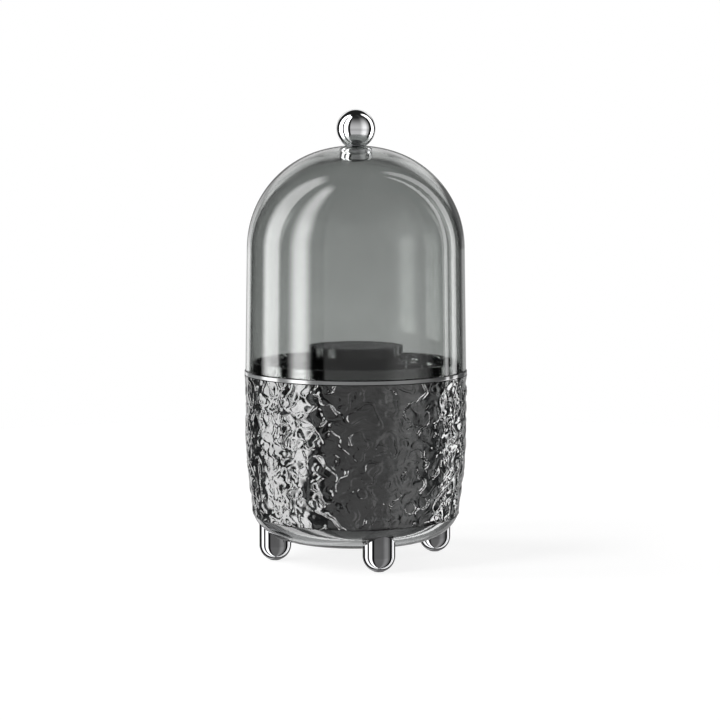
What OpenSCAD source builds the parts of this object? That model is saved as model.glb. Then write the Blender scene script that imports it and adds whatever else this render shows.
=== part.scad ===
// Round counter-top organizer: a clear drum on four ball feet, with a brush
// cup in its middle and a lift-off dome. Millimetres, +Z up. The origin lies
// under the centre, on the surface that the feet stand on.

/* [Dome] */
// Outer diameter of the dome at its mouth
dome_mouth_d = 121.4; // [112:0.1:132]
// Height of the dome from its mouth to its crown
dome_h = 122.6; // [110:0.1:150]
// Wall of the dome along its side
dome_wall = 2.7; // [2:0.1:3.5]
// Wall of the dome through its shoulder
shoulder_wall = 3.8; // [3.4:0.1:4.2]
// Wall of the dome at its crown
crown_wall = 5; // [4.6:0.1:6]
// Lean of the side wall from upright, in degrees
dome_draft = 0.95; // [0.5:0.05:1.4]
// Outer radius of the rounded shoulder
shoulder_r = 55.5; // [53:0.1:56]
// Outer radius of the flatter crown
crown_r = 71; // [69:0.5:80]

/* [Knob] */
// Diameter of the knob's ball
knob_d = 21.3; // [16:0.1:24]
// Diameter of the short neck under the ball
knob_neck_d = 11.4; // [8:0.1:12]
// Depth of the flat seat that is sunk into the crown
knob_seat_depth = 1.1; // [0.9:0.05:1.3]
// Diameter of the stud that holds the knob
stud_d = 4; // [3:0.5:5]
// Length of the stud inside the knob
stud_in_knob = 8; // [5:0.5:11]
// Length of the stud inside the crown
stud_in_crown = 2.6; // [1.5:0.1:2.8]

/* [Rim collar] */
// Height of the polished band between drum and dome
band_h = 2.6; // [2:0.1:4]
// How far the band stands out past the dome
band_lip = 0.5; // [0.2:0.1:1]
// Height of the neck that rises inside the dome
neck_h = 5; // [3:0.1:8]
// Wall of the neck
neck_wall = 2; // [1.4:0.1:2.5]
// Gap all round between the neck and the dome
neck_gap = 1; // [0.4:0.1:1.5]
// Depth of the skirt that locates the collar inside the drum
skirt_h = 6.3; // [4:0.1:9]

/* [Drum] */
// Height of the drum from its seam to the collar
drum_h = 76.7; // [60:0.1:90]
// Wall of the drum, measured to the crests of its texture
drum_wall = 3; // [2.2:0.1:3.4]
// How far the drum's crests stand out past the band
drum_proud = 0.2; // [0:0.1:0.6]
// Height of the straight stretch below the collar
drum_straight_h = 26.3; // [15:0.1:40]
// Radius of the long inward sweep below the straight stretch
drum_sweep_r = 315; // [280:1:420]

/* [Base dish] */
// Height of the dish from its underside to the seam
dish_h = 13.3; // [12:0.1:18]
// Radius of the round edge under the dish
dish_edge_r = 19.7; // [18:0.1:24]
// Thickness of the dish's floor
dish_floor = 5; // [4:0.1:6]
// How far the dish stands back from the drum at the seam
dish_step = 0.4; // [0:0.1:1]
// Height of the spigot that locates the drum
spigot_h = 3; // [1.5:0.1:3.2]
// Height of the ring that locates the cup on the floor
cup_ring_h = 3; // [2:0.1:6]
// Wall of that ring
cup_ring_wall = 1.5; // [1:0.1:2.5]

/* [Brush cup] */
// Outer diameter of the brush cup
cup_d = 51.8; // [40:0.1:64]
// Height of the brush cup
cup_h = 100.9; // [80:0.1:108]
// Wall of the cup
cup_wall = 1.3; // [1:0.1:2]
// Floor of the cup
cup_floor = 2; // [1.5:0.1:4]
// Gap all round between the cup and its locating ring
cup_gap = 0.3; // [0.2:0.05:0.6]

/* [Feet] */
// Height of the dish's underside above the surface
clearance_h = 11.3; // [9.5:0.1:14]
// Diameter of a foot
foot_d = 17.6; // [14:0.1:18]
// How far a foot's axis stands in from the edge of the dish
foot_inset = 11; // [10.2:0.1:14]
// Turn of the front foot round the axis, in degrees
foot_turn = 15.6; // [0:0.1:45]
// Diameter of the flat under a foot
foot_flat_d = 7; // [6.6:0.1:9]
// Diameter of the peg on top of a foot
peg_d = 6; // [4:0.1:8]
// Height of the peg's end above the dish's underside
peg_rise = 4.6; // [4:0.1:4.8]
// Diameter of the pad's recess under a foot
pad_seat_d = 6; // [4:0.1:6.4]
// Thickness of a pad
pad_t = 1.2; // [0.8:0.1:2]
// How far a pad stands out under its foot
pad_proud = 0.4; // [0.2:0.1:0.6]

/* [Fits] */
// Gap for cement round the collar's skirt, the spigot and the feet
cement_gap = 0.05; // [0.03:0.01:0.1]
// Gap round a stud, a peg or a pad in its seat
seat_gap = 0.05; // [0.03:0.01:0.1]

/* [Hidden] */
$fn = 96;

// Heights above the surface, from the bottom up
seam_z = clearance_h + dish_h;
drum_top_z = seam_z + drum_h;
mouth_z = drum_top_z + band_h;
crown_z = mouth_z + dome_h;
floor_z = clearance_h + dish_floor;

// Radii from the outside in
mouth_r = dome_mouth_d / 2;
dome_bore_r = mouth_r - dome_wall;
neck_r = dome_bore_r - neck_gap;
collar_bore_r = neck_r - neck_wall;
band_r = mouth_r + band_lip;
drum_r = band_r + drum_proud;

// The drum's sweep starts level with this height and is an arc about this centre
sweep_z = drum_top_z - drum_straight_h;
sweep_x = drum_r - drum_sweep_r;
function drum_r_at(z) = sweep_x + sqrt(pow(drum_sweep_r, 2) - pow(sweep_z - z, 2));

// Centre of the dish's round edge
dish_r = drum_r_at(seam_z) - dish_step;
edge_z = clearance_h + dish_edge_r;
edge_x = dish_r - sqrt(pow(dish_edge_r, 2) - pow(edge_z - seam_z, 2));
spigot_r = drum_r_at(seam_z) - drum_wall - cement_gap;

// Knob and its stud
seat_z = crown_z - knob_seat_depth;
neck_sink = knob_d / 2 - sqrt(pow(knob_d, 2) - pow(knob_neck_d, 2)) / 2;
ball_sink = 0.7;
ball_z = seat_z + knob_d / 2 - ball_sink;
stud_bore_d = stud_d + 2 * seat_gap;
stud_end_gap = 0.3;

// Feet
FOOT_ANGLES = [for (i = [0 : 3]) foot_turn - 90 + 90 * i];
foot_circle_r = dish_r - foot_inset;
foot_r = foot_d / 2;
foot_ball_z = pad_proud + sqrt(pow(foot_r, 2) - pow(foot_flat_d / 2, 2));
peg_end_z = clearance_h + peg_rise;
peg_end_gap = 0.2;
peg_root = 3;

// Lets a cut run past the face that it opens
over = 1;

// Section of a dome, filled to the axis: a leaning wall, a round shoulder that
// meets it without a kink, and a crown that meets the shoulder the same way.
module dome_section(wall_r, arc_r, top_r, top_z) {
    crown_c = top_z - top_r;
    reach = wall_r * cos(dome_draft) + (mouth_z - crown_c) * sin(dome_draft) - arc_r;
    rise = reach * sin(dome_draft)
        + cos(dome_draft) * sqrt(pow(top_r - arc_r, 2) - pow(reach, 2));
    arc_x = (reach - rise * sin(dome_draft)) / cos(dome_draft);
    arc_z = crown_c + rise;
    wall_top_x = arc_x + arc_r * cos(dome_draft);
    wall_top_z = arc_z + arc_r * sin(dome_draft);
    crown_edge_x = top_r * cos(atan2(rise, arc_x));
    polygon([[0, mouth_z], [wall_r, mouth_z], [wall_top_x, wall_top_z], [0, wall_top_z]]);
    intersection() {
        translate([arc_x, arc_z]) circle(r = arc_r);
        translate([0, wall_top_z]) square([wall_r, top_r]);
    }
    intersection() {
        translate([0, crown_c]) circle(r = top_r);
        translate([0, wall_top_z]) square([crown_edge_x, top_r]);
    }
}

// Section of the drum, filled to the axis, with its wall moved in by inset
module drum_section(inset) {
    sweep_r = drum_sweep_r - inset;
    translate([0, sweep_z]) square([drum_r - inset, drum_top_z - sweep_z]);
    intersection() {
        translate([sweep_x, sweep_z]) circle(r = sweep_r, $fn = 720);
        translate([0, seam_z]) square([drum_r, sweep_z - seam_z]);
    }
}

// Section of the dish, filled to the axis, with its face moved in by inset
module dish_section(inset) {
    arc_r = dish_edge_r - inset;
    top_z = seam_z + spigot_h + over;
    translate([0, clearance_h + inset]) square([edge_x, top_z - clearance_h - inset]);
    intersection() {
        translate([edge_x, edge_z]) circle(r = arc_r);
        translate([edge_x, clearance_h]) square([arc_r, top_z - clearance_h]);
    }
}

module ring(outer_r, inner_r, z, h) {
    translate([0, 0, z]) rotate_extrude() translate([inner_r, 0]) square([outer_r - inner_r, h]);
}

// Places its children at a foot's centre line
module at_foot(angle) {
    rotate([0, 0, angle]) translate([foot_circle_r, 0, 0]) children();
}

// Clear bell-shaped cover with a flat seat and a blind bore for the knob
module dome_cover() {
    bore_z = seat_z - stud_in_crown - stud_end_gap;
    color([0.45, 0.46, 0.46, 0.45]) difference() {
        rotate_extrude() difference() {
            dome_section(mouth_r, shoulder_r, crown_r, crown_z);
            dome_section(
                dome_bore_r, shoulder_r - shoulder_wall,
                crown_r - crown_wall, crown_z - crown_wall
            );
        }
        translate([0, 0, seat_z]) cylinder(d = knob_neck_d + 2 * seat_gap, h = knob_seat_depth + over);
        translate([0, 0, bore_z]) cylinder(d = stud_bore_d, h = seat_z - bore_z + over);
    }
}

// Bright ball with a short neck, bored from below for the stud
module knob_ball() {
    color([0.86, 0.87, 0.88]) difference() {
        union() {
            translate([0, 0, ball_z]) sphere(d = knob_d);
            translate([0, 0, seat_z]) cylinder(d = knob_neck_d, h = neck_sink + over);
        }
        translate([0, 0, seat_z - knob_d]) cylinder(d = knob_d, h = knob_d);
        translate([0, 0, seat_z - over])
            cylinder(d = stud_bore_d, h = stud_in_knob + stud_end_gap + over);
    }
}

module knob_stud() {
    color([0.6, 0.61, 0.62]) translate([0, 0, seat_z - stud_in_crown])
        cylinder(d = stud_d, h = stud_in_crown + stud_in_knob);
}

// Neck, band and skirt in one ring that closes the top of the drum
module rim_collar() {
    skirt_r = drum_r - drum_wall - cement_gap;
    color([0.5, 0.51, 0.51, 0.5]) {
        rotate_extrude() translate([collar_bore_r, 0]) union() {
            translate([0, mouth_z - over]) square([neck_r - collar_bore_r, neck_h + over]);
            translate([0, drum_top_z]) square([band_r - collar_bore_r, band_h]);
            translate([0, drum_top_z - skirt_h]) square([skirt_r - collar_bore_r, skirt_h + over]);
        }
    }
}

module drum_shell() {
    color([0.35, 0.36, 0.36, 0.6]) rotate_extrude() difference() {
        drum_section(0);
        drum_section(drum_wall);
    }
}

// Smooth bowl that closes the drum below, with a spigot for the drum, a ring
// for the cup and a blind bore over each foot
module base_dish() {
    ring_r = cup_d / 2 + cup_gap;
    color([0.5, 0.53, 0.54, 0.6]) difference() {
        union() {
            rotate_extrude() difference() {
                intersection() {
                    dish_section(0);
                    union() {
                        square([dish_r + over, seam_z]);
                        square([spigot_r, seam_z + spigot_h]);
                    }
                }
                dish_section(dish_floor);
            }
            ring(ring_r + cup_ring_wall, ring_r, floor_z - over, cup_ring_h + over);
        }
        for (angle = FOOT_ANGLES) at_foot(angle)
            cylinder(d = peg_d + 2 * seat_gap, h = peg_end_z + peg_end_gap);
    }
}

module brush_cup() {
    color([0.25, 0.25, 0.26, 0.7]) difference() {
        translate([0, 0, floor_z]) cylinder(d = cup_d, h = cup_h);
        translate([0, 0, floor_z + cup_floor]) cylinder(d = cup_d - 2 * cup_wall, h = cup_h);
    }
}

// Bright bullet-shaped foot. Its top follows the dish, and a peg rises from it.
module foot(angle) {
    color([0.86, 0.87, 0.88]) {
        difference() {
            at_foot(angle) difference() {
                union() {
                    translate([0, 0, foot_ball_z]) sphere(r = foot_r);
                    translate([0, 0, foot_ball_z]) cylinder(r = foot_r, h = seam_z - foot_ball_z);
                }
                translate([0, 0, pad_proud - foot_d]) cylinder(d = foot_d, h = foot_d);
                translate([0, 0, -over]) cylinder(d = pad_seat_d, h = pad_t + over);
            }
            rotate_extrude() dish_section(-cement_gap);
        }
        at_foot(angle) translate([0, 0, clearance_h - peg_root])
            cylinder(d = peg_d, h = peg_end_z - clearance_h + peg_root);
    }
}

module pad(angle) {
    color([0.55, 0.56, 0.57]) at_foot(angle) cylinder(d = pad_seat_d - 2 * seat_gap, h = pad_t);
}

dome_cover();
knob_ball();
knob_stud();
rim_collar();
drum_shell();
base_dish();
brush_cup();
foot(FOOT_ANGLES[0]);  // foot_front
foot(FOOT_ANGLES[1]);  // foot_right
foot(FOOT_ANGLES[2]);  // foot_back
foot(FOOT_ANGLES[3]);  // foot_left
pad(FOOT_ANGLES[0]);  // pad_front
pad(FOOT_ANGLES[1]);  // pad_right
pad(FOOT_ANGLES[2]);  // pad_back
pad(FOOT_ANGLES[3]);  // pad_left
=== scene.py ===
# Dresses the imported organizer: clear smoke-grey plastic, a crinkled drum and
# bright feet and knob, in a white studio. Profiles are drawn in millimetres in
# the X-Z plane and spun round the upright axis. Every piece is in metres.
import math

import bmesh
import bpy
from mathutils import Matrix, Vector, noise


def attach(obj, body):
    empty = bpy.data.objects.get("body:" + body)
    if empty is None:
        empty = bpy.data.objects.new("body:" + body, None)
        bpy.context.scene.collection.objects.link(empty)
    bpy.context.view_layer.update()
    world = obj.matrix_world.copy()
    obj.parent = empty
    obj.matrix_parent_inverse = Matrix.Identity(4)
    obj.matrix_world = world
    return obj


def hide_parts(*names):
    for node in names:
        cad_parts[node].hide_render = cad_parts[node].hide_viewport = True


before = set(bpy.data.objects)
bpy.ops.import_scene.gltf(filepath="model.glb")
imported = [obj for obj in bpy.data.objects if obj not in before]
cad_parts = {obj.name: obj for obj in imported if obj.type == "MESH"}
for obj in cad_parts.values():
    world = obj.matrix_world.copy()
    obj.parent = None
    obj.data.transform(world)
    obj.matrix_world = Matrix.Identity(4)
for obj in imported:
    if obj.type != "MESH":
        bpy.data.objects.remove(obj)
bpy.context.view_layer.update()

MM = 0.001
RIGHT_ANGLE = 90.0
FULL_TURN = 2 * math.pi

# Sizes shared with the construction, in millimetres
CROWN_Z = 226.5
CROWN_R = 71.0
SHOULDER_R = 55.5
DRAFT = 0.95
MOUTH_R = 60.7
DOME_WALL = 2.7
SHOULDER_WALL = 3.8
CROWN_WALL = 5.0
MOUTH_Z = 103.9
SEAT_Z = 225.4
SEAT_R = 5.75
STUD_BORE_R = 2.05
STUD_BORE_FOOT_Z = 222.5
STUD_BORE_TOP_Z = 233.7
BALL_Z = 235.35
BALL_R = 10.65
BALL_NECK_R = 5.7

NECK_R = 57.0
COLLAR_BORE_R = 55.0
NECK_TOP_Z = 108.9
BAND_R = 61.2
DRUM_TOP_Z = 101.3
SKIRT_R = 58.35
SKIRT_FOOT_Z = 95.0

DRUM_R = 61.4
DRUM_WALL = 3.0
SWEEP_Z = 75.0
SWEEP_R = 315.0
SEAM_Z = 24.6

UNDERSIDE_Z = 11.3
DISH_FLOOR = 5.0
EDGE_R = 19.7
EDGE_X = 38.31
SPIGOT_R = 54.29
SPIGOT_TOP_Z = 27.6
CUP_RING_OUT_R = 27.7
CUP_RING_IN_R = 26.2
CUP_RING_TOP_Z = 19.3

CUP_R = 25.9
CUP_WALL = 1.3
CUP_FLOOR = 2.0
CUP_TOP_Z = 117.2

FOOT_R = 8.8
FOOT_FLAT_R = 3.5
FOOT_CIRCLE_R = 45.94
FOOT_ANGLES = {"front": -74.4, "right": 15.6, "back": 105.6, "left": 195.6}
PAD_R = 2.95
PAD_SEAT_R = 3.0
PAD_T = 1.2
PAD_PROUD = 0.4
# Points this close below a foot's top are trimmed to the dish
FOOT_TRIM = 1.0

# Air left between two clear pieces that rest on each other
AIR = 0.06
# Radii of the small rounds on moulded edges
EDGE_ROUND = 0.3
FINE_ROUND = 0.15
SEAM_ROUND = 0.9
BAND_ROUND = 0.6
# Height of the dark line of painted shade in the groove where the dish is cemented to the drum
SEAM_SHADE_BAND = 0.7
# Height of the dark line of painted shade along each edge of the band
BAND_SHADE_LINE = 0.4

# The drum's crinkle: how deep it goes, how far its plain top and foot reach, and
# how far those plain edges stand back from the crests
CRINKLE_DEPTH = 1.0
PLAIN_TOP = 4.5
PLAIN_FOOT = 1.0
PLAIN_DEPTH = 0.15
TOP_SLOWNESS = 0.6
# A point less than this inside the crests is on the drum's outer face
OUTER_FACE = 1.0

# The relief on the collar's bore: its depth, its pattern's scale round and up,
# and an outward lean that grows from BORE_LEAN_Z to the top of the neck
BORE_RELIEF = 0.8
BORE_ROUND_SCALE = 2.0
BORE_UP_SCALE = 0.9
BORE_LEAN = 0.9
BORE_LEAN_Z = 97.0
# Where the relief starts and is full, below the bore's top and above its foot
BORE_FADE_TOP = (0.3, 1.0)
BORE_FADE_FOOT = (0.4, 2.0)
# Height of the bore's plain edge at its foot
BORE_CUT = 0.5
BORE_RINGS = 28

# Noise layers of the crinkle. A slow bend pushes the others about. Wide swells
# and lumps lift it, and dents cut flat pits into it.
CRINKLE_UP_SCALE = 1.35
BEND_SCALE = 0.1
BEND_SHIFT = Vector((11.3, 2.7, 5.1))
WIDE_SCALE = 0.07
WIDE_BEND = 0.5
WIDE_SHARE = 0.5
LUMP_SCALE = 0.13
LUMP_BEND = 0.6
LUMP_SHIFT = Vector((3.1, 7.9, 1.3))
LUMP_SHARE = 0.6
DENT_SCALE = 0.17
DENT_BEND = 0.7
DENT_SHIFT = Vector((8.4, 0.6, 4.2))
PIT_EDGE = (0.06, 0.26)
PIT_SHARE = 0.34
MIDDLE_DEPTH = 0.5
# The bends are drawn from this seed, so that each run gives the same relief
CRINKLE_SEED = 3
noise.seed_set(CRINKLE_SEED)

# Edges that turn more than this stay crisp
SHARP_ANGLE = math.radians(42.0)
# Points closer than this are one point
SAME_POINT = 0.0005

ROUND_STEPS = 256
DRUM_STEPS = 640
DRUM_RINGS = 125
SMALL_STEPS = 96
PAD_STEPS = 48


# ---------------------------------------------------------------- profiles
def pen_at(mesh, x, z):
    return mesh.verts.new((x, 0.0, z))


def line_to(mesh, pen, x, z, cuts=1):
    """Draws a straight stretch from the pen, cut into equal edges."""
    start = pen.co.copy()
    for i in range(1, cuts + 1):
        tip = mesh.verts.new(start.lerp(Vector((x, 0.0, z)), i / cuts))
        mesh.edges.new((pen, tip))
        pen = tip
    return pen


def arc_to(mesh, pen, x, z, turn, steps):
    """Turns the pen round (x, z), clockwise by turn degrees."""
    drawn = bmesh.ops.spin(
        mesh, geom=[pen], cent=(x, 0, z), axis=(0, 1, 0),
        angle=math.radians(turn), steps=steps,
    )
    return [v for v in drawn["geom_last"] if isinstance(v, bmesh.types.BMVert)][0]


def corner(mesh, pen, x, z, corners, cuts=1):
    """Draws a straight stretch whose end is a corner to be rounded later."""
    tip = line_to(mesh, pen, x, z, cuts)
    corners.append(tip)
    return tip


def round_corners(mesh, corners, radius, segments=3):
    bmesh.ops.bevel(
        mesh, geom=corners, offset=radius, segments=segments, profile=0.5,
        affect="VERTICES", material=-1,
    )


def revolve(mesh, steps=ROUND_STEPS):
    """Spins the drawn profile round the upright axis and closes its poles."""
    bmesh.ops.spin(
        mesh, geom=mesh.verts[:] + mesh.edges[:], cent=(0, 0, 0), axis=(0, 0, 1),
        angle=FULL_TURN, steps=steps, use_merge=True,
    )
    bmesh.ops.remove_doubles(mesh, verts=mesh.verts, dist=SAME_POINT)
    bmesh.ops.recalc_face_normals(mesh, faces=mesh.faces)


def push_out(vert, distance):
    """Moves a point straight away from the upright axis."""
    x, y, z = vert.co
    radius = math.hypot(x, y)
    vert.co.x = x * (radius + distance) / radius
    vert.co.y = y * (radius + distance) / radius


def height_and_radius(face):
    middle = face.calc_center_median()
    return middle.z, math.hypot(middle.x, middle.y)


def finish_piece(mesh, name, materials, body, node, even_shading=True):
    """Makes the drawn mesh a piece that rides on its body and shows its node."""
    bmesh.ops.scale(mesh, vec=(MM, MM, MM), verts=mesh.verts)
    for face in mesh.faces:
        face.smooth = True
    for edge in mesh.edges:
        edge.smooth = edge.calc_face_angle(0.0) < SHARP_ANGLE
    data = bpy.data.meshes.new(name)
    mesh.to_mesh(data)
    mesh.free()
    piece = bpy.data.objects.new(name, data)
    bpy.context.scene.collection.objects.link(piece)
    for material in materials:
        data.materials.append(material)
    if even_shading:
        even = piece.modifiers.new("even_shading", "WEIGHTED_NORMAL")
        even.weight = 90
        even.keep_sharp = True
    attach(piece, body)
    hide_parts(node)


# --------------------------------------------------------------- materials
def new_material(name):
    material = bpy.data.materials.new(name)
    material.use_nodes = True
    tree = material.node_tree
    shader = tree.nodes["Principled BSDF"]
    return material, tree, shader


def link(tree, source, target):
    tree.links.new(source, target)


def object_place(tree):
    return tree.nodes.new("ShaderNodeTexCoord").outputs["Object"]


def surface_group():
    """Moulding marks: a slow swirl for tint and haze, and a fine skin for relief."""
    group = bpy.data.node_groups.new("moulded_skin", "ShaderNodeTree")
    face = group.interface
    face.new_socket("Place", in_out="INPUT", socket_type="NodeSocketVector")
    face.new_socket("Swirl Scale", in_out="INPUT", socket_type="NodeSocketFloat")
    face.new_socket("Skin Scale", in_out="INPUT", socket_type="NodeSocketFloat")
    face.new_socket("Swirl", in_out="OUTPUT", socket_type="NodeSocketFloat")
    face.new_socket("Skin", in_out="OUTPUT", socket_type="NodeSocketFloat")
    inside = group.nodes.new("NodeGroupInput")
    outside = group.nodes.new("NodeGroupOutput")
    for scale, out, detail in (("Swirl Scale", "Swirl", 3.0), ("Skin Scale", "Skin", 2.0)):
        grain = group.nodes.new("ShaderNodeTexNoise")
        grain.inputs["Detail"].default_value = detail
        group.links.new(inside.outputs["Place"], grain.inputs["Vector"])
        group.links.new(inside.outputs[scale], grain.inputs["Scale"])
        group.links.new(grain.outputs["Fac"], outside.inputs[out])
    return group


# The crumple's grain, and its two steps: where each starts and ends, and its height
CRUMPLE_STRETCH = (0.95, 0.95, 1.05)
CRUMPLE_SCALE = 150.0
CRUMPLE_WARP = 0.15
CRUMPLE_STEPS = ((0.38, 0.48, 0.7), (0.54, 0.64, 1.0))


def crumple_group():
    """Crumpled relief: flat-topped islands, each with a second step inside it."""
    group = bpy.data.node_groups.new("crumple", "ShaderNodeTree")
    face = group.interface
    face.new_socket("Place", in_out="INPUT", socket_type="NodeSocketVector")
    face.new_socket("Height", in_out="OUTPUT", socket_type="NodeSocketFloat")
    inside = group.nodes.new("NodeGroupInput")
    outside = group.nodes.new("NodeGroupOutput")
    tall = group.nodes.new("ShaderNodeVectorMath")
    tall.operation = "MULTIPLY"
    tall.inputs[1].default_value = CRUMPLE_STRETCH
    group.links.new(inside.outputs["Place"], tall.inputs[0])
    grain = group.nodes.new("ShaderNodeTexNoise")
    grain.inputs["Scale"].default_value = CRUMPLE_SCALE
    grain.inputs["Detail"].default_value = 0.0
    grain.inputs["Distortion"].default_value = CRUMPLE_WARP
    group.links.new(tall.outputs[0], grain.inputs["Vector"])
    add = group.nodes.new("ShaderNodeMath")
    add.operation = "ADD"
    for socket, (low, high, rise) in zip(add.inputs, CRUMPLE_STEPS):
        step = group.nodes.new("ShaderNodeMapRange")
        step.interpolation_type = "SMOOTHSTEP"
        step.inputs["From Min"].default_value = low
        step.inputs["From Max"].default_value = high
        step.inputs["To Max"].default_value = rise
        group.links.new(grain.outputs["Fac"], step.inputs["Value"])
        group.links.new(step.outputs["Result"], socket)
    group.links.new(add.outputs[0], outside.inputs["Height"])
    return group


SKIN = surface_group()
CRUMPLE = crumple_group()


def skin_node(tree, swirl_scale, skin_scale):
    node = tree.nodes.new("ShaderNodeGroup")
    node.node_tree = SKIN
    node.inputs["Swirl Scale"].default_value = swirl_scale
    node.inputs["Skin Scale"].default_value = skin_scale
    link(tree, object_place(tree), node.inputs["Place"])
    return node


def ramp(tree, source, low, high, from_low=0.3, from_high=0.7):
    node = tree.nodes.new("ShaderNodeMapRange")
    node.inputs["From Min"].default_value = from_low
    node.inputs["From Max"].default_value = from_high
    node.inputs["To Min"].default_value = low
    node.inputs["To Max"].default_value = high
    link(tree, source, node.inputs["Value"])
    return node.outputs["Result"]


def blend_colours(tree, factor, first, second):
    node = tree.nodes.new("ShaderNodeMix")
    node.data_type = "RGBA"
    node.inputs["A"].default_value = (*first, 1)
    node.inputs["B"].default_value = (*second, 1)
    link(tree, factor, node.inputs["Factor"])
    return node.outputs["Result"]


def moulded_finish(name, scales, tones, rough, skin, rough_mark="Swirl"):
    """A finish whose tone and gloss drift over the surface, over a fine skin.
    Scales are of the swirl and the skin, rough the two ends of the roughness,
    and skin the height of the skin in metres."""
    material, tree, shader = new_material(name)
    marks = skin_node(tree, *scales)
    colour = blend_colours(tree, ramp(tree, marks.outputs["Swirl"], 0.0, 1.0), *tones)
    link(tree, colour, shader.inputs["Base Color"])
    link(tree, ramp(tree, marks.outputs[rough_mark], *rough), shader.inputs["Roughness"])
    bump = tree.nodes.new("ShaderNodeBump")
    bump.inputs["Distance"].default_value = skin
    link(tree, marks.outputs["Skin"], bump.inputs["Height"])
    link(tree, bump.outputs["Normal"], shader.inputs["Normal"])
    return material, tree, shader


def clear_plastic(name, tint, deep_tint, ior=1.5):
    """Polished clear plastic with a slow swirl in its tint and a faint haze."""
    material, tree, shader = moulded_finish(
        name, scales=(28.0, 160.0), tones=(tint, deep_tint), rough=(0.0, 0.02), skin=0.000004
    )
    shader.inputs["Transmission Weight"].default_value = 1.0
    shader.inputs["IOR"].default_value = ior
    return material, tree, shader


def graded_plastic(name, tint, deep_tint, tone, from_z, to_z):
    """Clear plastic that deepens in tone from one height to another, in metres."""
    material, tree, shader = clear_plastic(name, tint, deep_tint)
    place = tree.nodes.new("ShaderNodeSeparateXYZ")
    link(tree, object_place(tree), place.inputs[0])
    depth = ramp(tree, place.outputs["Z"], 0.0, 1.0, from_z, to_z)
    deepen = tree.nodes.new("ShaderNodeMix")
    deepen.data_type = "RGBA"
    deepen.blend_type = "MULTIPLY"
    deepen.inputs["B"].default_value = (tone, tone, tone, 1)
    link(tree, shader.inputs["Base Color"].links[0].from_socket, deepen.inputs["A"])
    link(tree, depth, deepen.inputs["Factor"])
    link(tree, deepen.outputs["Result"], shader.inputs["Base Color"])
    return material


def crinkled_plastic(name, tint, deep_tint, ior, relief):
    """Dark clear plastic with a crumpled face in place of the fine skin."""
    material, tree, shader = clear_plastic(name, tint, deep_tint, ior)
    crumple = tree.nodes.new("ShaderNodeGroup")
    crumple.node_tree = CRUMPLE
    link(tree, object_place(tree), crumple.inputs["Place"])
    bump = shader.inputs["Normal"].links[0].from_node
    bump.inputs["Distance"].default_value = relief
    link(tree, crumple.outputs["Height"], bump.inputs["Height"])
    return material


def polish_again(material, ior):
    """Adds a clear coat that follows the relief, for stronger glints."""
    tree = material.node_tree
    shader = tree.nodes["Principled BSDF"]
    shader.inputs["Coat Weight"].default_value = 1.0
    shader.inputs["Coat Roughness"].default_value = 0.02
    shader.inputs["Coat IOR"].default_value = ior
    link(tree, shader.inputs["Normal"].links[0].from_socket, shader.inputs["Coat Normal"])


def bright_plating(name, tone, worn_tone):
    """Mirror plating with a breath of haze from handling."""
    material, tree, shader = moulded_finish(
        name, scales=(90.0, 420.0), tones=(tone, worn_tone), rough=(0.02, 0.05), skin=0.000002
    )
    shader.inputs["Metallic"].default_value = 1.0
    return material


def painted_highlight_finish(name, tone, deep_tone):
    """The band's outer face: a painted highlight, an opaque pale face standing for the light
    that the clear rim gathers.
    """
    material, tree, shader = moulded_finish(
        name, scales=(60.0, 700.0), tones=(tone, deep_tone), rough=(0.04, 0.1), skin=0.000004
    )
    shader.inputs["IOR"].default_value = 2.2
    return material


def turned_steel(name, tone, dull_tone):
    material, tree, shader = moulded_finish(
        name, scales=(300.0, 1500.0), tones=(tone, dull_tone), rough=(0.25, 0.45),
        skin=0.00002, rough_mark="Skin",
    )
    shader.inputs["Metallic"].default_value = 1.0
    return material


def dull_filling(name, tone, worn_tone):
    """An opaque, dull filling with a fine grain, for the pads and for the dark seat under the
    knob, which is painted shade.
    """
    return moulded_finish(
        name, scales=(400.0, 2600.0), tones=(tone, worn_tone), rough=(0.5, 0.75),
        skin=0.00004, rough_mark="Skin",
    )[0]


COVER_CLEAR = graded_plastic(
    "cover_clear", (0.54, 0.555, 0.545), (0.50, 0.515, 0.505),
    tone=0.84, from_z=0.135, to_z=0.212,
)
RIM_CLEAR = clear_plastic(
    "rim_clear", (0.06, 0.0625, 0.0625), (0.045, 0.047, 0.047), ior=2.5
)[0]
# An opaque pale band: a painted highlight for the light the clear rim gathers
BAND_PAINTED_HIGHLIGHT = painted_highlight_finish("band_painted_highlight", (0.24, 0.25, 0.25), (0.2, 0.205, 0.205))
CUP_CLEAR = clear_plastic("cup_clear", (0.26, 0.26, 0.265), (0.22, 0.22, 0.225))[0]
DISH_CLEAR = graded_plastic(
    "dish_clear", (0.64, 0.655, 0.655), (0.58, 0.595, 0.595),
    tone=0.25, from_z=0.014, to_z=0.0175,
)
# Near-black clear plastic that paints shade: in the groove over the dish and along the band's
# edges
PAINTED_EDGE_SHADE = clear_plastic("painted_edge_shade", (0.012, 0.0125, 0.0125), (0.008, 0.0085, 0.0085))[0]
DRUM_CLEAR = crinkled_plastic(
    "drum_clear", (0.15, 0.155, 0.155), (0.10, 0.105, 0.105), ior=1.8, relief=0.0004
)
BORE_CLEAR = crinkled_plastic(
    "bore_clear", (0.06, 0.0625, 0.0625), (0.045, 0.047, 0.047), ior=2.8, relief=0.0006
)
polish_again(BORE_CLEAR, ior=2.6)
KNOB_PLATING = bright_plating("knob_plating", (0.94, 0.94, 0.95), (0.88, 0.89, 0.9))
# The feet's plating is far darker than the knob's: painted shade, standing for the shaded floor
# that the low feet mirror
FOOT_PLATING_PAINTED_SHADE = bright_plating("foot_plating_painted_shade", (0.24, 0.24, 0.245), (0.19, 0.19, 0.195))
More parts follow.
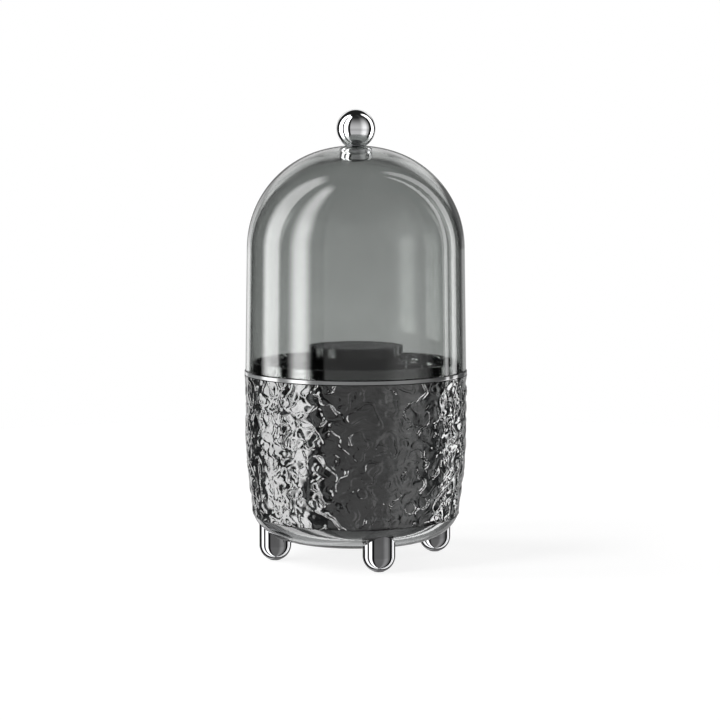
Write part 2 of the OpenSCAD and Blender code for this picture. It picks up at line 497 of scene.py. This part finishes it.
# Dull steel for the hidden stud; on the knob's neck it is painted shade, darker than the
# plating, for the recess the neck stands in
STEEL_AND_NECK_SHADE = turned_steel("stud_steel_and_neck_shade", (0.3, 0.3, 0.31), (0.22, 0.22, 0.23))
PAD_GREY = dull_filling("pad_soft_grey", (0.3, 0.3, 0.31), (0.22, 0.22, 0.23))
# A near-black opaque seat under the knob: painted shade of the recess round the knob's neck
SEAT_PAINTED_SHADE = dull_filling("seat_painted_shade", (0.05, 0.05, 0.052), (0.035, 0.035, 0.037))


# ------------------------------------------------------------------ pieces
def dome_arcs(wall_r, arc_r, top_r, top_z):
    """Centre of a shoulder that meets both the leaning wall and the crown, and
    the angle above level, in degrees, at which shoulder and crown join."""
    lean = math.radians(DRAFT)
    crown_c = top_z - top_r
    reach = wall_r * math.cos(lean) + (MOUTH_Z - crown_c) * math.sin(lean) - arc_r
    rise = reach * math.sin(lean) + math.cos(lean) * math.sqrt(
        (top_r - arc_r) ** 2 - reach**2
    )
    arc_x = (reach - rise * math.sin(lean)) / math.cos(lean)
    return arc_x, crown_c + rise, math.degrees(math.atan2(rise, arc_x))


def make_dome():
    mesh = bmesh.new()
    corners = []
    mouth_z = MOUTH_Z + AIR
    inner_top_r = CROWN_R - CROWN_WALL
    inner_arc_r = SHOULDER_R - SHOULDER_WALL
    inner_top_z = CROWN_Z - CROWN_WALL
    bore_r = MOUTH_R - DOME_WALL
    x, z, join = dome_arcs(bore_r, inner_arc_r, inner_top_r, inner_top_z)
    pen = pen_at(mesh, 0.0, inner_top_z)
    pen = arc_to(mesh, pen, 0.0, inner_top_z - inner_top_r, RIGHT_ANGLE - join, steps=10)
    pen = arc_to(mesh, pen, x, z, join - DRAFT, steps=40)
    pen = corner(mesh, pen, bore_r, mouth_z, corners, cuts=6)
    pen = corner(mesh, pen, MOUTH_R, mouth_z, corners)
    x, z, join = dome_arcs(MOUTH_R, SHOULDER_R, CROWN_R, CROWN_Z)
    lean = math.radians(DRAFT)
    wall_top = (x + SHOULDER_R * math.cos(lean), z + SHOULDER_R * math.sin(lean))
    pen = line_to(mesh, pen, *wall_top, cuts=6)
    pen = arc_to(mesh, pen, x, z, DRAFT - join, steps=40)
    seat_edge = math.degrees(math.acos(SEAT_R / CROWN_R))
    pen = arc_to(mesh, pen, 0.0, CROWN_Z - CROWN_R, join - seat_edge, steps=8)
    corners.append(pen)
    pen = line_to(mesh, pen, SEAT_R, SEAT_Z)
    pen = line_to(mesh, pen, STUD_BORE_R, SEAT_Z)
    pen = line_to(mesh, pen, STUD_BORE_R, STUD_BORE_FOOT_Z)
    line_to(mesh, pen, 0.0, STUD_BORE_FOOT_Z)
    round_corners(mesh, corners, EDGE_ROUND)
    revolve(mesh)
    materials = [COVER_CLEAR, SEAT_PAINTED_SHADE]
    # The seat under the knob and the stud's bore get the near-black filling, as painted shade
    # in the recess
    for face in mesh.faces:
        z, radius = height_and_radius(face)
        if z > STUD_BORE_FOOT_Z - AIR and radius < SEAT_R + FINE_ROUND:
            face.material_index = materials.index(SEAT_PAINTED_SHADE)
    finish_piece(mesh, "clear_dome", materials, "lid", "dome_cover")


def make_knob():
    mesh = bmesh.new()
    corners = []
    pen = pen_at(mesh, 0.0, STUD_BORE_TOP_Z)
    pen = line_to(mesh, pen, STUD_BORE_R, STUD_BORE_TOP_Z)
    pen = line_to(mesh, pen, STUD_BORE_R, SEAT_Z + AIR)
    pen = corner(mesh, pen, BALL_NECK_R, SEAT_Z + AIR, corners)
    drop = math.sqrt(BALL_R**2 - BALL_NECK_R**2)
    pen = line_to(mesh, pen, BALL_NECK_R, BALL_Z - drop)
    below = math.degrees(math.atan2(drop, BALL_NECK_R))
    arc_to(mesh, pen, 0.0, BALL_Z, -(RIGHT_ANGLE + below), steps=64)
    round_corners(mesh, corners, FINE_ROUND)
    revolve(mesh, SMALL_STEPS)
    materials = [KNOB_PLATING, STEEL_AND_NECK_SHADE]
    # The neck and its bore take the dull steel in place of the plating: painted shade where the
    # neck sinks into the seat
    for face in mesh.faces:
        z, radius = height_and_radius(face)
        if z < BALL_Z - drop and radius < BALL_NECK_R + AIR:
            face.material_index = materials.index(STEEL_AND_NECK_SHADE)
    finish_piece(mesh, "knob", materials, "lid", "knob_ball")


def smooth_step(value, start, end):
    part = min(1.0, max(0.0, (value - start) / (end - start)))
    return part * part * (3.0 - 2.0 * part)


def crinkle(x, y, z):
    """Depth of the drum's crinkle below its crests, from 0 to 1."""
    place = Vector((x, y, CRINKLE_UP_SCALE * z))
    bend = noise.noise_vector(place * BEND_SCALE + BEND_SHIFT)
    wide = noise.noise(place * WIDE_SCALE + WIDE_BEND * bend)
    lumps = noise.noise(place * LUMP_SCALE + LUMP_BEND * bend + LUMP_SHIFT)
    dents = noise.noise(place * DENT_SCALE + DENT_BEND * bend + DENT_SHIFT)
    pits = smooth_step(dents, *PIT_EDGE)
    depth = MIDDLE_DEPTH - WIDE_SHARE * wide - LUMP_SHARE * lumps + PIT_SHARE * pits
    return min(1.0, max(0.0, depth))


def bore_relief(x, y, z):
    """How far a point of the collar's bore is pushed out into the wall."""
    full = smooth_step(NECK_TOP_Z - z, *BORE_FADE_TOP)
    full = full * smooth_step(z - SKIRT_FOOT_Z, *BORE_FADE_FOOT)
    lean = BORE_LEAN * smooth_step(z, BORE_LEAN_Z, NECK_TOP_Z)
    pattern = crinkle(BORE_ROUND_SCALE * x, BORE_ROUND_SCALE * y, BORE_UP_SCALE * z)
    return full * (lean + BORE_RELIEF * pattern)


def make_collar():
    mesh = bmesh.new()
    outline = (
        (COLLAR_BORE_R, NECK_TOP_Z), (NECK_R, NECK_TOP_Z), (NECK_R, MOUTH_Z), (BAND_R, MOUTH_Z),
        (BAND_R, DRUM_TOP_Z), (SKIRT_R, DRUM_TOP_Z), (SKIRT_R, SKIRT_FOOT_Z),
    )
    start = pen_at(mesh, COLLAR_BORE_R, SKIRT_FOOT_Z)
    corners = [start]
    band_corners = []
    pen = start
    for x, z in outline:
        pen = corner(mesh, pen, x, z, band_corners if x == BAND_R else corners)
    pen = line_to(mesh, pen, COLLAR_BORE_R, SKIRT_FOOT_Z + BORE_CUT, cuts=BORE_RINGS)
    mesh.edges.new((pen, start))
    round_corners(mesh, corners, EDGE_ROUND)
    round_corners(mesh, band_corners, BAND_ROUND, segments=5)
    revolve(mesh, DRUM_STEPS)
    for vert in mesh.verts:
        x, y, z = vert.co
        if math.hypot(x, y) <= COLLAR_BORE_R + AIR:
            push_out(vert, bore_relief(x, y, z))
    materials = [RIM_CLEAR, BAND_PAINTED_HIGHLIGHT, PAINTED_EDGE_SHADE, BORE_CLEAR]
    for face in mesh.faces:
        z, radius = height_and_radius(face)
        # The band's face is a painted highlight, and a strip along each of its edges painted
        # shade
        if radius > BAND_R - BAND_ROUND:
            # A face near either edge of the band is painted dark: painted shade
            in_edge_shade = min(MOUTH_Z - z, z - DRUM_TOP_Z) < BAND_SHADE_LINE
            face.material_index = materials.index(PAINTED_EDGE_SHADE if in_edge_shade else BAND_PAINTED_HIGHLIGHT)
        elif radius < COLLAR_BORE_R + BORE_RELIEF + BORE_LEAN:
            face.material_index = materials.index(BORE_CLEAR)
    finish_piece(mesh, "rim", materials, "organizer", "rim_collar")


def make_drum():
    mesh = bmesh.new()
    top_z = DRUM_TOP_Z - AIR
    foot_z = SEAM_Z + AIR
    sweep_x = DRUM_R - SWEEP_R
    start = pen_at(mesh, DRUM_R, top_z)
    rings_up = round(DRUM_RINGS * (top_z - SWEEP_Z) / (top_z - foot_z))
    pen = line_to(mesh, start, DRUM_R, SWEEP_Z, cuts=rings_up)
    turn = math.degrees(math.asin((SWEEP_Z - foot_z) / SWEEP_R))
    pen = arc_to(mesh, pen, sweep_x, SWEEP_Z, turn, steps=DRUM_RINGS - rings_up)
    inner_foot_r = sweep_x + math.sqrt((SWEEP_R - DRUM_WALL) ** 2 - (SWEEP_Z - foot_z) ** 2)
    pen = line_to(mesh, pen, inner_foot_r, foot_z)
    turn = math.degrees(math.asin((SWEEP_Z - foot_z) / (SWEEP_R - DRUM_WALL)))
    pen = arc_to(mesh, pen, sweep_x, SWEEP_Z, -turn, steps=10)
    pen = line_to(mesh, pen, DRUM_R - DRUM_WALL, top_z)
    mesh.edges.new((pen, start))
    revolve(mesh, DRUM_STEPS)
    for vert in mesh.verts:
        x, y, z = vert.co
        below = max(0.0, SWEEP_Z - z)
        crest = sweep_x + math.sqrt(SWEEP_R**2 - below**2)
        if math.hypot(x, y) < crest - OUTER_FACE:
            continue
        full = smooth_step(top_z - z, 0.0, PLAIN_TOP) ** TOP_SLOWNESS
        full = full * smooth_step(z - foot_z, 0.0, PLAIN_FOOT)
        inward = CRINKLE_DEPTH * crinkle(x, y, z) * full + PLAIN_DEPTH * (1.0 - full)
        push_out(vert, -inward)
    finish_piece(
        mesh, "crinkled_drum", [DRUM_CLEAR], "organizer", "drum_shell",
        even_shading=False,
    )


def make_dish():
    mesh = bmesh.new()
    corners = []
    edge_z = UNDERSIDE_Z + EDGE_R
    floor_z = UNDERSIDE_Z + DISH_FLOOR
    seam_turn = math.degrees(math.acos((edge_z - SEAM_Z) / EDGE_R))
    pen = pen_at(mesh, 0.0, UNDERSIDE_Z)
    pen = line_to(mesh, pen, EDGE_X, UNDERSIDE_Z, cuts=2)
    pen = arc_to(mesh, pen, EDGE_X, edge_z, -seam_turn, steps=32)
    seam = pen
    pen = corner(mesh, pen, SPIGOT_R, SEAM_Z, corners)
    pen = corner(mesh, pen, SPIGOT_R, SPIGOT_TOP_Z, corners)
    inner_r = EDGE_R - DISH_FLOOR
    inner_turn = math.degrees(math.acos((edge_z - SPIGOT_TOP_Z) / inner_r))
    inner_x = EDGE_X + inner_r * math.sin(math.radians(inner_turn))
    pen = corner(mesh, pen, inner_x, SPIGOT_TOP_Z, corners)
    pen = arc_to(mesh, pen, EDGE_X, edge_z, inner_turn, steps=26)
    pen = corner(mesh, pen, CUP_RING_OUT_R, floor_z, corners)
    pen = corner(mesh, pen, CUP_RING_OUT_R, CUP_RING_TOP_Z, corners)
    pen = corner(mesh, pen, CUP_RING_IN_R, CUP_RING_TOP_Z, corners)
    pen = line_to(mesh, pen, CUP_RING_IN_R, floor_z)
    line_to(mesh, pen, 0.0, floor_z)
    round_corners(mesh, [seam], SEAM_ROUND, segments=5)
    round_corners(mesh, [v for v in corners if v.is_valid], EDGE_ROUND)
    revolve(mesh)
    materials = [DISH_CLEAR, PAINTED_EDGE_SHADE]
    for face in mesh.faces:
        # The faces next to the seam get the near-black clear plastic: painted shade in the
        # groove under the drum
        z, radius = height_and_radius(face)
        if z > SEAM_Z - SEAM_SHADE_BAND and radius > SPIGOT_R + AIR:
            face.material_index = materials.index(PAINTED_EDGE_SHADE)
    finish_piece(mesh, "smooth_dish", materials, "organizer", "base_dish")


def make_cup():
    mesh = bmesh.new()
    corners = []
    foot_z = UNDERSIDE_Z + DISH_FLOOR + AIR
    pen = pen_at(mesh, 0.0, foot_z)
    pen = corner(mesh, pen, CUP_R, foot_z, corners, cuts=2)
    pen = corner(mesh, pen, CUP_R, CUP_TOP_Z, corners, cuts=4)
    pen = corner(mesh, pen, CUP_R - CUP_WALL, CUP_TOP_Z, corners)
    pen = corner(mesh, pen, CUP_R - CUP_WALL, foot_z + CUP_FLOOR, corners, cuts=4)
    line_to(mesh, pen, 0.0, foot_z + CUP_FLOOR)
    round_corners(mesh, corners, EDGE_ROUND)
    revolve(mesh)
    finish_piece(mesh, "cup", [CUP_CLEAR], "cup", "brush_cup")


def dish_height(x, y):
    """Height of the dish's outer face over a point of the floor."""
    out = max(0.0, math.hypot(x, y) - EDGE_X)
    return UNDERSIDE_Z + EDGE_R - math.sqrt(EDGE_R**2 - out**2)


def foot_place(angle):
    turn = math.radians(angle)
    return Vector((FOOT_CIRCLE_R * math.cos(turn), FOOT_CIRCLE_R * math.sin(turn), 0.0))


def make_foot(name, angle):
    """A bullet-shaped foot with a seat for its pad, trimmed to the dish above it."""
    mesh = bmesh.new()
    rise = math.sqrt(FOOT_R**2 - FOOT_FLAT_R**2)
    top_z = SEAM_Z
    pen = pen_at(mesh, 0.0, PAD_T)
    pen = line_to(mesh, pen, PAD_SEAT_R, PAD_T)
    pen = line_to(mesh, pen, PAD_SEAT_R, PAD_PROUD)
    pen = line_to(mesh, pen, FOOT_FLAT_R, PAD_PROUD)
    up = math.degrees(math.atan2(rise, FOOT_FLAT_R))
    pen = arc_to(mesh, pen, 0.0, PAD_PROUD + rise, -up, steps=28)
    pen = line_to(mesh, pen, FOOT_R, top_z)
    line_to(mesh, pen, 0.0, top_z, cuts=8)
    revolve(mesh, SMALL_STEPS)
    bmesh.ops.translate(mesh, vec=foot_place(angle), verts=mesh.verts)
    for vert in mesh.verts:
        if vert.co.z > top_z - FOOT_TRIM:
            vert.co.z = dish_height(vert.co.x, vert.co.y) - AIR
    # The foot wears the darkened plating, which paints in the shade of the floor it mirrors
    finish_piece(
        mesh, f"bright_foot_{name}", [FOOT_PLATING_PAINTED_SHADE], "organizer",
        f"foot_{name}",
    )


def make_pad(name, angle):
    mesh = bmesh.new()
    corners = []
    pen = pen_at(mesh, 0.0, 0.0)
    pen = corner(mesh, pen, PAD_R, 0.0, corners)
    pen = line_to(mesh, pen, PAD_R, PAD_T)
    line_to(mesh, pen, 0.0, PAD_T)
    round_corners(mesh, corners, FINE_ROUND)
    revolve(mesh, PAD_STEPS)
    bmesh.ops.translate(mesh, vec=foot_place(angle), verts=mesh.verts)
    finish_piece(mesh, f"soft_pad_{name}", [PAD_GREY], "organizer", f"pad_{name}")


# ------------------------------------------------------------------ studio
CAMERA_PLACE = (0.0023, -1.0598, 0.21245)
CAMERA_PITCH_DOWN = 5.58
CAMERA_LENS = 96.65
CAMERA_SENSOR = 36.0

FLOOR_R = 0.6
FLOOR_GREY = 0.2
# How white the floor shows itself to the camera
FLOOR_GLOW = 0.85

# Upright lights: left and right bearing in degrees, width of each soft side, and
# strength. Bearing 0 is towards the viewer, and bearings grow to the right.
LEFT_PANELS = ((-117.0, -86.0, 12.0, 3.0, 5.4), (-77.0, -45.0, 14.0, 13.0, 7.6))
RIGHT_PANELS = ((105.5, 112.5, 1.5, 1.5, 3.4), (118.5, 131.0, 2.0, 3.0, 2.7))
LEFT_EDGE = (-166.0, -146.0, 6.0, 3.0, 0.8)
FRONT = (-34.5, 90.0, 3.0, 12.0, 0.52)
FRONT_LIFT = (25.0, 76.0, 25.0, 14.0, 0.5)
# The same on both sides, by bearing without its sign
BESIDE = (110.0, 144.0, 3.0, 5.0, 1.0)
BACK = (147.0, 154.0)
ROUND_FRONT = (70.0, 82.0, 1.0, 0.0)
# Fades over height above level: from and to, in degrees, and the value at each
LEFT_FOOT_GAIN = (-9.0, -6.5, 1.05, 1.0)
RIGHT_FOOT_GAIN = (-8.8, -5.8, 2.1, 1.0)
PANEL_TOP = (60.0, 72.0, 1.0, 0.0)
INSIDE_TOP = (25.0, 45.0, 0.0, 1.0)
LEFT_EDGE_TOP = (8.0, 26.0, 1.0, 0.0)
FRONT_TOP = (0.0, 70.0, 1.0, 0.04)
BACK_TOP = (22.0, 40.0, 1.0, 0.0)
BACK_LOW = (-1.0, 1.5, 0.45, 0.2)
BACK_HIGH = (12.0, 20.0, 0.0, 1.25)
BELOW_LEVEL = (-11.0, -7.5, 1.0, 0.0)
# A slightly darker stretch of the front, by height
FRONT_DIP = (-17.0, 4.0, 8.0, 7.0, 0.2)
# Share of a panel's strength that is lost straight through a clear wall
THROUGH_LOSS = 0.55
DARKEST = 0.015

# A ray crosses up to a dozen clear walls and back, so it may bend often
CLEAR_BOUNCES = 40
MIRROR_BOUNCES = 12


def make_camera():
    lens = bpy.data.cameras.new("camera")
    lens.lens = CAMERA_LENS
    lens.sensor_width = CAMERA_SENSOR
    camera = bpy.data.objects.new("camera", lens)
    bpy.context.scene.collection.objects.link(camera)
    camera.location = CAMERA_PLACE
    camera.rotation_euler = (math.radians(RIGHT_ANGLE - CAMERA_PITCH_DOWN), 0.0, 0.0)
    bpy.context.scene.camera = camera
    bpy.context.scene.view_settings.view_transform = "Standard"


def make_floor():
    """A pale floor that keeps the shadow, and shows white to the camera and
    through clear pieces, but not in mirrors."""
    mesh = bmesh.new()
    bmesh.ops.create_circle(mesh, cap_ends=True, segments=96, radius=FLOOR_R)
    data = bpy.data.meshes.new("floor")
    mesh.to_mesh(data)
    mesh.free()
    floor = bpy.data.objects.new("floor", data)
    bpy.context.scene.collection.objects.link(floor)
    material, tree, shader = new_material("pale_floor")
    shader.inputs["Base Color"].default_value = (FLOOR_GREY, FLOOR_GREY, FLOOR_GREY, 1)
    shader.inputs["Roughness"].default_value = 0.9
    shader.inputs["Emission Color"].default_value = (1, 1, 1, 1)
    sums = StudioSums(tree)
    path = tree.nodes.new("ShaderNodeLightPath")
    seen = sums.most(path.outputs["Is Camera Ray"], path.outputs["Is Transmission Ray"])
    link(tree, sums.times(seen, FLOOR_GLOW), shader.inputs["Emission Strength"])
    data.materials.append(material)
    floor.visible_glossy = False


class StudioSums:
    """Short-hand for the sums that shape the studio's light."""

    def __init__(self, tree):
        self.tree = tree

    def work_out(self, operation, *values):
        node = self.tree.nodes.new("ShaderNodeMath")
        node.operation = operation
        for socket, value in zip(node.inputs, values):
            if isinstance(value, (int, float)):
                socket.default_value = value
            else:
                self.tree.links.new(value, socket)
        return node.outputs[0]

    def chain(self, operation, first, *others):
        for other in others:
            first = self.work_out(operation, first, other)
        return first

    def times(self, *values):
        return self.chain("MULTIPLY", *values)

    def plus(self, *values):
        return self.chain("ADD", *values)

    def most(self, *values):
        return self.chain("MAXIMUM", *values)

    def less(self, first, second):
        return self.work_out("SUBTRACT", first, second)

    def fade(self, value, start, end, low=0.0, high=1.0):
        node = self.tree.nodes.new("ShaderNodeMapRange")
        node.interpolation_type = "SMOOTHSTEP"
        node.inputs["From Min"].default_value = start
        node.inputs["From Max"].default_value = end
        node.inputs["To Min"].default_value = low
        node.inputs["To Max"].default_value = high
        self.tree.links.new(value, node.inputs["Value"])
        return node.outputs["Result"]

    def panel(self, bearing, left, right, soft_left, soft_right, strength):
        """An upright light between two bearings, with soft sides."""
        rise = self.fade(bearing, left, left + soft_left)
        fall = self.fade(bearing, right - soft_right, right, 1.0, 0.0)
        return self.times(rise, fall, strength)


def side_light(sums, bearing, height, through, inside):
    """Two upright panels on each side. Rays that were mirrored inside a clear
    wall miss the panels' upper part."""
    left = sums.plus(*[sums.panel(bearing, *panel) for panel in LEFT_PANELS])
    left = sums.times(left, sums.fade(height, *LEFT_FOOT_GAIN))
    right = sums.plus(*[sums.panel(bearing, *panel) for panel in RIGHT_PANELS])
    right = sums.times(right, sums.fade(height, *RIGHT_FOOT_GAIN))
    top = sums.fade(height, *PANEL_TOP)
    top = sums.times(top, sums.less(1.0, sums.times(through, THROUGH_LOSS)))
    inside_loss = sums.times(inside, sums.fade(height, *INSIDE_TOP))
    top = sums.times(top, sums.less(1.0, inside_loss))
    return sums.times(sums.plus(left, right), top)


def front_light(sums, bearing, height):
    """A soft front, lifted towards the right and falling off upwards."""
    front = sums.plus(sums.panel(bearing, *FRONT), sums.panel(bearing, *FRONT_LIFT))
    fall = sums.fade(height, *FRONT_TOP)
    fall = sums.times(fall, sums.less(1.0, sums.panel(height, *FRONT_DIP)))
    return sums.times(front, fall)


def back_light(sums, bearing, height, through):
    """The backdrop: white straight through clear walls, and dimmer in mirrors."""
    off_back = sums.work_out("ABSOLUTE", bearing)
    mirrored = sums.most(sums.fade(height, *BACK_LOW), sums.fade(height, *BACK_HIGH))
    back = sums.times(sums.fade(off_back, *BACK), sums.most(mirrored, through))
    around = sums.plus(sums.fade(off_back, *ROUND_FRONT), sums.panel(off_back, *BESIDE))
    around = sums.most(around, sums.fade(height, *BELOW_LEVEL))
    back = sums.most(back, sums.times(around, through))
    return sums.times(back, sums.fade(height, *BACK_TOP))


def make_world():
    """The studio's light by bearing and height: two panels on each side, a narrow
    strip behind on the left, a soft front and a white back."""
    world = bpy.data.worlds.new("studio")
    bpy.context.scene.world = world
    world.use_nodes = True
    tree = world.node_tree
    sums = StudioSums(tree)
    way = tree.nodes.new("ShaderNodeSeparateXYZ")
    link(tree, tree.nodes.new("ShaderNodeTexCoord").outputs["Generated"], way.inputs[0])
    towards = sums.times(way.outputs["Y"], -1.0)
    bearing = sums.work_out("DEGREES", sums.work_out("ARCTAN2", way.outputs["X"], towards))
    height = sums.work_out("DEGREES", sums.work_out("ARCSINE", way.outputs["Z"]))
    path = tree.nodes.new("ShaderNodeLightPath")
    # A ray straight through clear walls, and one that was also mirrored on its way
    unmirrored = sums.work_out("LESS_THAN", path.outputs["Glossy Depth"], 0.5)
    through = sums.times(path.outputs["Is Transmission Ray"], unmirrored)
    inside = sums.less(path.outputs["Is Transmission Ray"], through)
    left_edge = sums.times(
        sums.panel(bearing, *LEFT_EDGE), sums.fade(height, *LEFT_EDGE_TOP),
        sums.less(1.0, through),
    )
    light = sums.plus(
        side_light(sums, bearing, height, through, inside), left_edge,
        front_light(sums, bearing, height), back_light(sums, bearing, height, through),
    )
    light = sums.most(light, DARKEST, path.outputs["Is Camera Ray"])
    sky = tree.nodes["Background"]
    sky.inputs["Color"].default_value = (1, 1, 1, 1)
    link(tree, light, sky.inputs["Strength"])


def let_light_through():
    paths = bpy.context.scene.cycles
    paths.max_bounces = CLEAR_BOUNCES
    paths.transmission_bounces = CLEAR_BOUNCES
    paths.glossy_bounces = MIRROR_BOUNCES


make_camera()
let_light_through()
make_dome()
make_knob()
make_collar()
make_drum()
make_dish()
make_cup()
for name, angle in FOOT_ANGLES.items():
    make_foot(name, angle)
    make_pad(name, angle)
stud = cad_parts["knob_stud"]
stud.data.materials.clear()
stud.data.materials.append(STEEL_AND_NECK_SHADE)
make_floor()
make_world()
